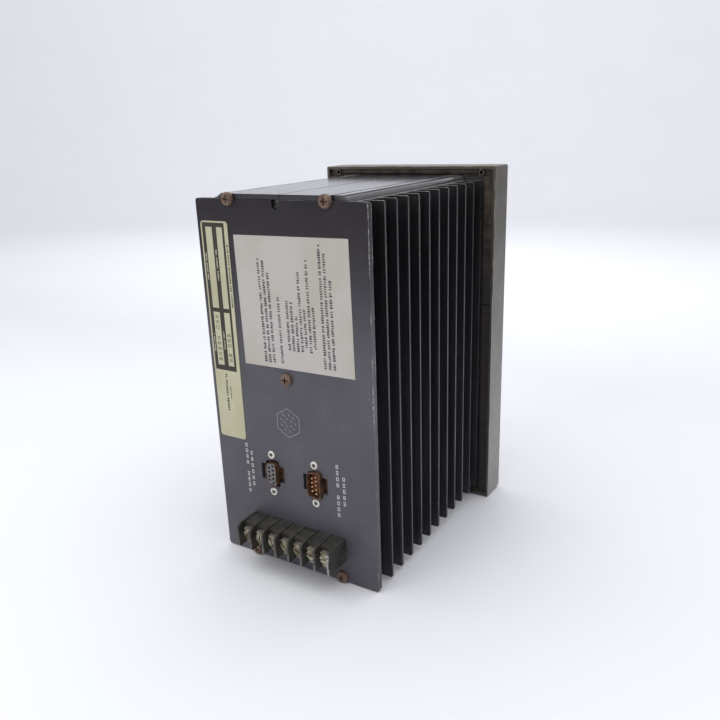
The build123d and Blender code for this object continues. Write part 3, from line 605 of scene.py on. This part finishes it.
dress(phenolic(), "terminal_block")
tin = plated_metal("tinned_brass", (0.40, 0.385, 0.31), (0.17, 0.145, 0.10), metal=0.7, rough=0.42)
screw_brass = plated_metal(
    "screw_brass", (0.50, 0.485, 0.36), (0.16, 0.115, 0.07), metal=0.75, rough=0.38, size=5.5
)
dress(tin, "terminal_contacts", *[f"clamp_{i}" for i in TERMINALS])
dress(screw_brass, *[f"terminal_screw_{i}" for i in TERMINALS])
dress(label_stock("paper_label", (0.50, 0.475, 0.445), (0.46, 0.43, 0.37)), "instruction_label")
dress(label_stock("rating_foil", (0.52, 0.50, 0.34), (0.46, 0.43, 0.28), rough=0.42), "rating_plate")
dress(circuit_board(), "front_board", "logic_board")
chip_epoxy = moulding("chip_epoxy", (0.020, 0.020, 0.022), rough=0.5)
dress(chip_epoxy, "logic_chips", "rectifier_bridge", "key_switches")
dress(moulding("digit_epoxy", (0.06, 0.012, 0.010), rough=0.35), "digit_modules")
dress(lamp_lenses(), "status_lamps")
chrome = plated_metal("lock_chrome", (0.72, 0.72, 0.72), (0.60, 0.60, 0.59), metal=1.0, rough=0.16, size=9.0)
dress(chrome, "lock_body")
worn_chrome = plated_metal("plug_chrome", (0.62, 0.61, 0.58), (0.50, 0.49, 0.46), metal=1.0, rough=0.24)
dress(worn_chrome, "lock_cylinder")
dress(moulding("keycap_plastic", (0.33, 0.33, 0.31), rough=0.5, size=14.0), *[f"key_{i}" for i in KEYS])
dress(laminations(), "transformer_core")
dress(wound_tape("coil_tape", (0.50, 0.36, 0.08), 9 * MM), "transformer_coil")
dress(wound_tape("capacitor_sleeve", (0.03, 0.07, 0.24), 60 * MM), "filter_capacitors")


# ---------------------------------------------------------------- mesh pieces
def finish_piece(name, mesh_data, material, body, smooth=False, replaces=()):
    """Turns a bmesh into a piece that rides on a body."""
    bmesh.ops.recalc_face_normals(mesh_data, faces=mesh_data.faces)
    mesh = bpy.data.meshes.new(name)
    mesh_data.to_mesh(mesh)
    mesh_data.free()
    mesh.materials.append(material)
    for face in mesh.polygons:
        face.use_smooth = smooth
    piece = bpy.data.objects.new(name, mesh)
    bpy.context.scene.collection.objects.link(piece)
    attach(piece, body)
    if replaces:
        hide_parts(*replaces)


def circle(x, z, radius, count, phase=0.0):
    """Points evenly round a circle, as pairs."""
    angles = [phase + math.tau * i / count for i in range(count)]
    return [(x + radius * math.cos(angle), z + radius * math.sin(angle)) for angle in angles]


def middle(low, high):
    """The middle of a box, seen along Y."""
    return (low.x + high.x) / 2, (low.z + high.z) / 2


INK_DEPTH, INK_HEIGHT = 0.02 * MM, 0.03 * MM


class Print:
    """Marks printed on a flat face across Y, as thin closed solids."""

    def __init__(self, surface_y, outward, turn=0.0, centre=(0.0, 0.0)):
        self.mesh = bmesh.new()
        self.y, self.outward = surface_y, outward
        self.turn, self.centre = turn, centre

    def turned(self, x, z):
        """A point's place once the whole print is turned about its centre."""
        cos_t, sin_t = math.cos(self.turn), math.sin(self.turn)
        dx, dz = x - self.centre[0], z - self.centre[1]
        return self.centre[0] + dx * cos_t - dz * sin_t, self.centre[1] + dx * sin_t + dz * cos_t

    def outline(self, corners):
        """A closed flat solid from its corners, as pairs of x and z."""
        placed = [self.turned(x, z) for x, z in corners]
        rings = []
        for lift in (-INK_DEPTH, INK_HEIGHT):
            y = self.y + self.outward * lift
            rings.append([self.mesh.verts.new((x, y, z)) for x, z in placed])
        for ring in rings:
            self.mesh.faces.new(ring)
        for i in range(len(placed)):
            j = (i + 1) % len(placed)
            self.mesh.faces.new((rings[0][i], rings[0][j], rings[1][j], rings[1][i]))

    def bar(self, x, z, width, height, angle=0.0):
        """A rectangle centred at x and z."""
        cos_a, sin_a = math.cos(angle), math.sin(angle)
        corners = []
        for u, v in ((-1, -1), (1, -1), (1, 1), (-1, 1)):
            dx, dz = u * width / 2, v * height / 2
            corners.append((x + dx * cos_a - dz * sin_a, z + dx * sin_a + dz * cos_a))
        self.outline(corners)

    def line(self, start, end, width):
        """A straight line, a little longer than its ends so that corners close."""
        dx, dz = end[0] - start[0], end[1] - start[1]
        x, z = (start[0] + end[0]) / 2, (start[1] + end[1]) / 2
        self.bar(x, z, math.hypot(dx, dz) + width * 0.9, width, math.atan2(dz, dx))

    def ring(self, x, z, radius, width, sides, phase=0.0):
        """A closed polygon or circle drawn as a line."""
        points = circle(x, z, radius, sides, phase)
        for i in range(sides):
            self.line(points[i], points[(i + 1) % sides], width)

    def dot(self, x, z, radius):
        self.outline(circle(x, z, radius, 8))

    def dummy_text(self, x, z_start, z_end, tall, advance, draw):
        """Meaningless blocks that stand for a line of small print read from the side, up from z_start."""
        z = z_start
        word = draw.randint(3, 8)
        while z < z_end - advance / 2:
            if word == 0:
                word = draw.randint(2, 9)
                z += advance * 0.7
                continue
            word -= 1
            height = tall * draw.choice((1.0, 1.0, 0.9, 0.76))
            shift = (tall - height) / 2 * draw.choice((-1, 1))
            self.bar(x + shift, z + advance * 0.4, height, advance * draw.choice((0.5, 0.66, 0.8)))
            z += advance

    def stacked_marks(self, x, z_top, z_bottom, count, wide, tall, line, draw, gaps=()):
        """A column of small boxes, open or barred, that stands for print and spells nothing."""
        pitch = (z_top - z_bottom) / (count - 1)
        for i in range(count):
            if i in gaps:
                continue
            z = z_top - i * pitch
            kind = draw.choice(("open", "barred", "levels"))
            for side in (-1, 1):
                if kind != "levels":
                    self.bar(x + side * (wide - line) / 2, z, line, tall)
                self.bar(x, z + side * (tall - line) / 2, wide, line)
            if kind != "open":
                self.bar(x, z, wide, line)


draw = random.Random(7)
rear_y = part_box("rear_plate")[1].y
label_low, label_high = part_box("instruction_label")
rating_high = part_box("rating_plate")[1]

# small print on the instruction label, from left to right as seen from behind:
# each line's x, start and end in millimetres
LABEL_TURN = -math.radians(0.9)
LABEL_LINES = [
    (14.6, 21.0, 81.5), (11.6, 20.8, 80.3), (8.6, 21.0, 74.2), (2.6, 21.4, 60.8),
    (-3.2, 29.8, 59.0), (-6.2, 29.5, 58.8), (-9.2, 29.5, 50.4), (-12.2, 29.8, 75.3),
    (-15.1, 32.2, 55.4), (-18.1, 29.8, 82.6), (-21.0, 32.2, 57.1),
    (-27.0, 21.6, 91.4), (-30.0, 21.6, 87.0), (-33.1, 21.6, 71.6),
]
text = Print(label_high.y, 1, LABEL_TURN, middle(label_low, label_high))
for x, start, end in LABEL_LINES:
    text.dummy_text(x * MM, start * MM, end * MM, tall=1.75 * MM, advance=1.36 * MM, draw=draw)
black_ink = ink("black_ink", (0.085, 0.080, 0.084), fade=0.5)
finish_piece("instruction_print", text.mesh, black_ink, "chassis")

# rating plate: a dark frame with four empty windows, and small print beside them
FRAME_X, FRAME_Z = (37.5, 54.0), (10.5, 99.6)
WINDOW_X, WINDOW_Z = ((39.1, 43.4), (46.7, 51.6)), ((13.7, 46.9), (49.4, 97.1))


def borders(outer, windows):
    """The bands of a frame that lie before, between and after its two windows."""
    return (outer[0], windows[0][0]), (windows[0][1], windows[1][0]), (windows[1][1], outer[1])


rating = Print(rating_high.y, 1)
for left, right in borders(FRAME_X, WINDOW_X):
    middle_z, tall = sum(FRAME_Z) / 2, FRAME_Z[1] - FRAME_Z[0]
    rating.bar((left + right) / 2 * MM, middle_z * MM, (right - left) * MM, tall * MM)
for low, high in borders(FRAME_Z, WINDOW_Z):
    for left, right in WINDOW_X:
        rating.bar((left + right) / 2 * MM, (low + high) / 2 * MM, (right - left) * MM, (high - low) * MM)
for x, start, end, tall, advance in (
    (36.2, 50.5, 88, 1.0, 1.25),
    (46.4, -16, 8, 1.5, 1.5),
    (43.6, -8, 1, 0.9, 1.1),
):
    rating.dummy_text(x * MM, start * MM, end * MM, tall=tall * MM, advance=advance * MM, draw=draw)
olive_ink = ink("olive_ink", (0.042, 0.038, 0.028), fade=0.25)
finish_piece("rating_print", rating.mesh, olive_ink, "chassis")

# stamped marks in the lower two windows, and print reversed out of the frame
STAMP_FOOT = 17.5 * MM
stamped = Print(rating_high.y, 1)
for x, top, count in ((49.2, 44.0, 9), (41.2, 33.0, 6)):
    stamped.stacked_marks(
        x * MM, top * MM, STAMP_FOOT, count,
        wide=2.5 * MM, tall=1.8 * MM, line=0.36 * MM, draw=draw, gaps=(3,),
    )
stamp_ink = ink("stamp_ink", (0.14, 0.13, 0.10), fade=0.3)
finish_piece("rating_stamps", stamped.mesh, stamp_ink, "chassis")

reversed_out = Print(rating_high.y + INK_HEIGHT, 1)
for x, start, end in ((52.8, 66, 82), (45.0, 66, 84), (52.8, 22, 34), (45.0, 24, 36)):
    reversed_out.dummy_text(x * MM, start * MM, end * MM, tall=0.9 * MM, advance=1.2 * MM, draw=draw)
cream_ink = ink("cream_ink", (0.50, 0.48, 0.36))
finish_piece("rating_print_light", reversed_out.mesh, cream_ink, "chassis")

# white marks printed on the rear plate: a column pair beside each connector
marks = Print(rear_y, 1)
for x, z_top, z_bottom, count, gaps in (
    (35.4, -37.0, -68.4, 9, (4,)),
    (31.8, -41.8, -63.0, 6, ()),
    (-31.7, -37.0, -68.4, 9, (4,)),
    (-36.0, -44.0, -60.0, 5, ()),
):
    marks.stacked_marks(
        x * MM, z_top * MM, z_bottom * MM, count,
        wide=1.7 * MM, tall=2.5 * MM, line=0.42 * MM, draw=draw, gaps=gaps,
    )
white_ink = ink("white_ink", (0.72, 0.72, 0.72), fade=0.55)
finish_piece("connector_marks", marks.mesh, white_ink, "chassis")

# faded hexagonal stamp with short bars and dots inside
stamp = Print(rear_y, 1)
HEX_X, HEX_Z, HEX_R, HEX_LINE = 1.4 * MM, -16.1 * MM, 9.2 * MM, 0.35 * MM
TICK_LONG, TICK_WIDE, TICK_SWING = 1.5 * MM, 0.4 * MM, 0.8
DOT_X, DOT_Z, DOT_R = 0.9 * MM, 0.8 * MM, 0.25 * MM
stamp.ring(HEX_X, HEX_Z, HEX_R, HEX_LINE, 6, math.radians(30))
for ring, count in ((2.6, 5), (5.2, 9)):
    for i in range(count):
        angle = math.tau * i / count + ring
        x, z = HEX_X + ring * MM * math.cos(angle), HEX_Z + ring * MM * math.sin(angle)
        stamp.bar(x, z, TICK_LONG, TICK_WIDE, angle + draw.uniform(-TICK_SWING, TICK_SWING))
        stamp.dot(x + DOT_X, z + DOT_Z, DOT_R)
faded_ink = ink("faded_ink", (0.30, 0.30, 0.32), fade=0.6)
finish_piece("stamp_mark", stamp.mesh, faded_ink, "chassis")


# ---------------------------------------------------------------- foam gasket
FOAM_CELL = 0.9 * MM
COARSE_LUMPS, FINE_LUMPS = 260, 900  # noise waves per metre
COARSE_SINK, FINE_SINK, EDGE_SINK = 0.16 * MM, 0.12 * MM, 0.10 * MM


def gasket():
    """The panel gasket's strips, each laid again as a lumpy box within the CAD strip."""
    data = bmesh.new()
    islands = bmesh.new()
    islands.from_mesh(NODES["panel_gasket"].data)
    bmesh.ops.remove_doubles(islands, verts=islands.verts, dist=0.01 * MM)
    islands.verts.ensure_lookup_table()
    seen = set()
    for start in islands.verts:
        if start.index in seen:
            continue
        group, stack = [], [start]
        seen.add(start.index)
        while stack:
            vert = stack.pop()
            group.append(vert.co.copy())
            for edge in vert.link_edges:
                other = edge.other_vert(vert)
                if other.index not in seen:
                    seen.add(other.index)
                    stack.append(other)
        low = Vector(min(co[i] for co in group) for i in range(3))
        high = Vector(max(co[i] for co in group) for i in range(3))
        add_lumpy_box(data, low, high)
    islands.free()
    foam = aged_foam()
    finish_piece("foam_gasket", data, foam, "chassis", smooth=True, replaces=("panel_gasket",))


def add_lumpy_box(data, low, high):
    """A gridded box whose surface sinks by a little noise, more at the edges, and never rises."""
    counts = [max(2, round((high[i] - low[i]) / FOAM_CELL)) for i in range(3)]
    made = {}

    def vertex(i, j, k):
        key = (i, j, k)
        if key not in made:
            at = [low[a] + (high[a] - low[a]) * key[a] / counts[a] for a in range(3)]
            made[key] = data.verts.new(at)
        return made[key]

    for axis in range(3):
        u, v = [a for a in range(3) if a != axis]
        for side in (0, counts[axis]):
            for i in range(counts[u]):
                for j in range(counts[v]):
                    corners = []
                    for du, dv in ((0, 0), (1, 0), (1, 1), (0, 1)):
                        key = [0, 0, 0]
                        key[axis], key[u], key[v] = side, i + du, j + dv
                        corners.append(vertex(*key))
                    data.faces.new(corners)
    for key, vert in made.items():
        on_edge = sum(key[a] in (0, counts[a]) for a in range(3)) - 1
        coarse = noise.noise(vert.co * COARSE_LUMPS) * 0.5 + 0.5
        fine = noise.noise(vert.co * FINE_LUMPS) * 0.5 + 0.5
        sink = COARSE_SINK * coarse + FINE_SINK * fine + EDGE_SINK * on_edge
        for a in range(3):
            if key[a] == 0:
                vert.co[a] += sink
            elif key[a] == counts[a]:
                vert.co[a] -= sink


gasket()

# ---------------------------------------------------------------- operator front
RULE = 0.5 * MM  # width of the frame round the window and of the lock's ticks
PANE_X, PANE_LOW, PANE_HIGH, PANE_MARGIN = 48.0 * MM, 64.0 * MM, 96.0 * MM, 2.2 * MM
KEY_FRAME, KEY_RULE = 22.8 * MM, 0.45 * MM
LEADER_TOP, THIN_RULE = 31.0 * MM, 0.35 * MM
DIAL_R, SCALE_IN, SCALE_OUT, SCALE_END_OUT = 13.6 * MM, 14.5 * MM, 16.3 * MM, 17.5 * MM

# white legend: a frame round the window and round each key, a leader above each key, a scale round the lock
legend = Print(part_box("front_overlay")[0].y, -1)
for z in (PANE_LOW - PANE_MARGIN, PANE_HIGH + PANE_MARGIN):
    legend.bar(0, z, 2 * (PANE_X + PANE_MARGIN) + RULE, RULE)
for x in (-PANE_X - PANE_MARGIN, PANE_X + PANE_MARGIN):
    legend.bar(x, (PANE_LOW + PANE_HIGH) / 2, RULE, PANE_HIGH - PANE_LOW + 2 * PANE_MARGIN)
for i in KEYS:
    x, z = middle(*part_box(f"key_{i}"))
    for side in (-1, 1):
        legend.bar(x + side * KEY_FRAME / 2, z, KEY_RULE, KEY_FRAME)
        legend.bar(x, z + side * KEY_FRAME / 2, KEY_FRAME, KEY_RULE)
    legend.line((x, z + KEY_FRAME / 2), (x, z + LEADER_TOP), THIN_RULE)
lock_x, lock_z = middle(*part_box("lock_body"))
for degrees in range(0, 91, 30):
    angle = math.radians(90 - degrees)
    reach = SCALE_END_OUT if degrees in (0, 90) else SCALE_OUT
    ends = [(lock_x + r * math.cos(angle), lock_z + r * math.sin(angle)) for r in (SCALE_IN, reach)]
    legend.line(*ends, RULE)
legend.ring(lock_x, lock_z, DIAL_R, THIN_RULE, 48)
finish_piece("front_legend", legend.mesh, white_ink, "chassis")

# one plain symbol in the dish of each key: arrows up, down and across, and a square
DISH_DEPTH, SYMBOL_R = 0.5 * MM, 3.2 * MM
ARROW_DEGREES = {1: 90, 2: 270, 4: 0}
for i in KEYS:
    low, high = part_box(f"key_{i}")
    x, z = middle(low, high)
    symbol = Print(low.y + DISH_DEPTH, -1)
    if i in ARROW_DEGREES:
        symbol.outline(circle(x, z, SYMBOL_R, 3, math.radians(ARROW_DEGREES[i])))
    else:
        symbol.bar(x, z, 1.5 * SYMBOL_R, 1.5 * SYMBOL_R)
    finish_piece(f"key_symbol_{i}", symbol.mesh, black_ink, f"key_{i}")

# seven pale segments and a point on each digit module
DIGITS, PITCH = 6, 15.2 * MM
ACROSS, UPRIGHT, SEGMENT = 5.0 * MM, 4.8 * MM, 1.2 * MM
SEGMENT_X, LEVEL_Z, UPRIGHT_Z = 3.3 * MM, 6.2 * MM, 3.1 * MM
POINT_X, POINT_Z, POINT_R = 5.0 * MM, -6.4 * MM, 0.7 * MM
digits_low, digits_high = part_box("digit_modules")
segments = Print(digits_low.y, -1)
for i in range(DIGITS):
    x, z = (i - (DIGITS - 1) / 2) * PITCH, (digits_low.z + digits_high.z) / 2
    for level in (-1, 0, 1):
        segments.bar(x, z + level * LEVEL_Z, ACROSS, SEGMENT)
    for side in (-1, 1):
        for level in (-1, 1):
            segments.bar(x + side * SEGMENT_X, z + level * UPRIGHT_Z, SEGMENT, UPRIGHT)
    segments.dot(x + POINT_X, z + POINT_Z, POINT_R)
segment_grey = ink("segment_grey", (0.70, 0.42, 0.38))
finish_piece("digit_segments", segments.mesh, segment_grey, "chassis")


# ---------------------------------------------------------------- stage, light and camera
HEAD_REST = 1.3 * MM  # from a screw head's top to where its rim touches the table


def table_tilt():
    """Height of the table under y = 0 and its rise along +Y, from the two edges that the unit lies on."""
    bezel_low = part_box("bezel")[0]
    screws_low, screws_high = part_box("rear_screws")
    rise = (screws_low.z - bezel_low.z) / (screws_high.y - HEAD_REST)
    return bezel_low.z, rise


def plain_material(name, colour, rough):
    """One colour, very faintly clouded."""
    s = Shader(name)
    base = s.mix(s.clouds(0.3, 3.0), shade(colour, 0.985), colour)
    return finish_surface(s, base=base, rough=rough, specular=0.2)


table_z, table_rise = table_tilt()
tilt = math.atan(table_rise)
normal = Vector((0, -math.sin(tilt), math.cos(tilt)))


def stage_bowl():
    """A table that curves up into a backdrop all round, far enough out for every view."""
    data = bmesh.new()
    flat, bend, tall, sides, steps = 2.6, 1.2, 2.4, 72, 10
    profile = [(0.0, 0.0), (0.5, 0.0), (flat, 0.0)]
    for k in range(1, steps + 1):
        angle = math.pi / 2 * k / steps
        profile.append((flat + bend * math.sin(angle), bend - bend * math.cos(angle)))
    profile.append((flat + bend, tall))
    rings = []
    for radius, height in profile:
        count = 1 if radius == 0 else sides
        rings.append([data.verts.new((x, y, height)) for x, y in circle(0.0, 0.0, radius, count)])
    for inner, outer in zip(rings, rings[1:]):
        for i in range(sides):
            j = (i + 1) % sides
            if len(inner) == 1:
                data.faces.new((inner[0], outer[i], outer[j]))
            else:
                data.faces.new((inner[i], outer[i], outer[j], inner[j]))
    bmesh.ops.recalc_face_normals(data, faces=data.faces)
    mesh = bpy.data.meshes.new("table")
    data.to_mesh(mesh)
    data.free()
    for face in mesh.polygons:
        face.use_smooth = True
    mesh.materials.append(plain_material("table_white", (0.84, 0.845, 0.865), 0.6))
    table = bpy.data.objects.new("table", mesh)
    bpy.context.scene.collection.objects.link(table)
    lean = normal.to_track_quat("Z", "Y").to_matrix().to_4x4()
    table.matrix_world = Matrix.Translation((0, 0, table_z)) @ lean


stage_bowl()


def soft_light(name, place, target, size, power, colour=(1, 1, 1)):
    """A square area light aimed at a point."""
    lamp = bpy.data.lights.new(name, "AREA")
    lamp.shape = "SQUARE"
    lamp.size = size
    lamp.energy = power
    lamp.color = colour
    holder = bpy.data.objects.new(name, lamp)
    bpy.context.scene.collection.objects.link(holder)
    holder.location = place
    holder.rotation_mode = "QUATERNION"
    holder.rotation_quaternion = (Vector(target) - Vector(place)).to_track_quat("-Z", "Y")


UNIT_MIDDLE = (0.0, 0.1, 0.0)
soft_light("overhead", (0.05, 0.05, 1.15), UNIT_MIDDLE, size=1.7, power=13.0)
soft_light("camera_side", (0.5, 1.5, 0.9), UNIT_MIDDLE, size=1.0, power=5.0)
COOL_WHITE, BACKDROP_POINT = (0.97, 0.97, 1.0), (0.9, -3.2, 1.1)
soft_light("backdrop_wash", (0.6, -0.6, 1.6), BACKDROP_POINT, size=1.3, power=34.0, colour=COOL_WHITE)

world = bpy.data.worlds.new("studio")
world.use_nodes = True
backdrop = world.node_tree.nodes["Background"]
backdrop.inputs["Color"].default_value = (0.88, 0.89, 0.94, 1.0)
backdrop.inputs["Strength"].default_value = 0.72
bpy.context.scene.world = world

CAMERA_AT = Vector((-240.4, 458.0, 148.3)) * MM
LOOK_AT = Vector((-15.1, 94.2, 8.9)) * MM
FOCAL_MM, SENSOR_MM, ROLL = 35.66, 36.0, math.radians(-0.38)
lens = bpy.data.cameras.new("camera")
lens.lens, lens.sensor_width = FOCAL_MM, SENSOR_MM
lens.clip_start, lens.clip_end = 0.01, 50.0
camera = bpy.data.objects.new("camera", lens)
bpy.context.scene.collection.objects.link(camera)
forward = (LOOK_AT - CAMERA_AT).normalized()
right = forward.cross(normal).normalized()
up = right.cross(forward)
turned_right = right * math.cos(ROLL) + up * math.sin(ROLL)
turned_up = up * math.cos(ROLL) - right * math.sin(ROLL)
columns = Matrix((turned_right, turned_up, -forward)).transposed()
camera.matrix_world = Matrix.Translation(CAMERA_AT) @ columns.to_4x4()
bpy.context.scene.camera = camera

view = bpy.context.scene.view_settings
view.view_transform = "Standard"
view.look = "None"
